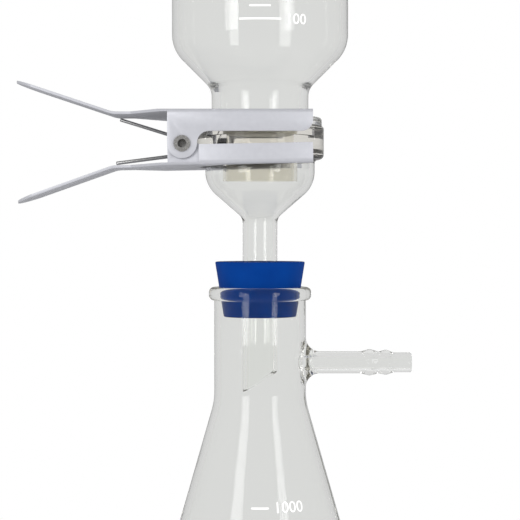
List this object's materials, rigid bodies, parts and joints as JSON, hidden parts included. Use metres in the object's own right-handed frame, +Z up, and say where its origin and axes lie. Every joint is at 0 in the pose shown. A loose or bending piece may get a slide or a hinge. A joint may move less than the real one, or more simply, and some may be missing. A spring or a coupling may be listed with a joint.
{
  "type": "vacuum filtration funnel set",
  "caption": "All-glass vacuum filtration set: clamped reservoir funnel and fritted support base, stoppered into a side-arm conical flask.",
  "frame": {"origin": "centre of the flask's underside, on the common axis of the glass", "axes": "+Z up along the glass axis, +X towards the end of the flask's side arm"},
  "size_m": [0.1795, 0.136, 0.408],
  "materials": {
    "flask_glass": "clear borosilicate glass",
    "base_glass": "clear borosilicate glass with a ground top face",
    "funnel_glass": "clear borosilicate glass with a ground foot",
    "sintered_glass": "white sintered glass, matt",
    "silicone_blue": "saturated blue silicone rubber, satin",
    "anodised": "satin silver anodised aluminium sheet",
    "rivet_steel": "nickel-plated steel tube",
    "spring_steel": "stainless spring wire",
    "membrane_white": "white cellulose membrane, matt",
    "enamel_white": "white fired enamel"
  },
  "bodies": {
    "flask": {"receiving_flask": "flask_glass", "flask_scale": "enamel_white"},
    "stopper": {"stopper": "silicone_blue"},
    "base": {"support_base": "base_glass", "fritted_disc": "sintered_glass", "membrane_filter": "membrane_white"},
    "reservoir": {"funnel": "funnel_glass", "funnel_scale": "enamel_white"},
    "clamp": {"clamp_lower_jaw": "anodised", "clamp_rivet": "rivet_steel", "clamp_spring": "spring_steel"},
    "upper_jaw": {"clamp_upper_jaw": "anodised"}
  },
  "joints": [
    {"name": "stopper_lift", "type": "slide", "parent": "flask", "child": "stopper", "axis": [0, 0, 1], "range_m": [0, 0.062]},
    {"name": "stem_slide", "type": "slide", "parent": "stopper", "child": "base", "axis": [0, 0, 1], "range_m": [-0.012, 0.062]},
    {"name": "funnel_turn", "type": "hinge", "parent": "base", "child": "reservoir", "pos_m": [0, 0, 0.30122], "axis": [0, 0, 1], "continuous": true},
    {"name": "clamp_pull_off", "type": "slide", "parent": "base", "child": "clamp", "axis": [-1, 0, 0], "range_m": [0, 0.085]},
    {"name": "jaws_open", "type": "hinge", "parent": "clamp", "child": "upper_jaw", "pos_m": [-0.034, 0, 0.29165], "axis": [0, -1, 0], "range_deg": [0, 16], "stiffness_Nm_per_rad": 2, "springref_deg": -17.19, "deforming": ["clamp_spring"]}
  ]
}
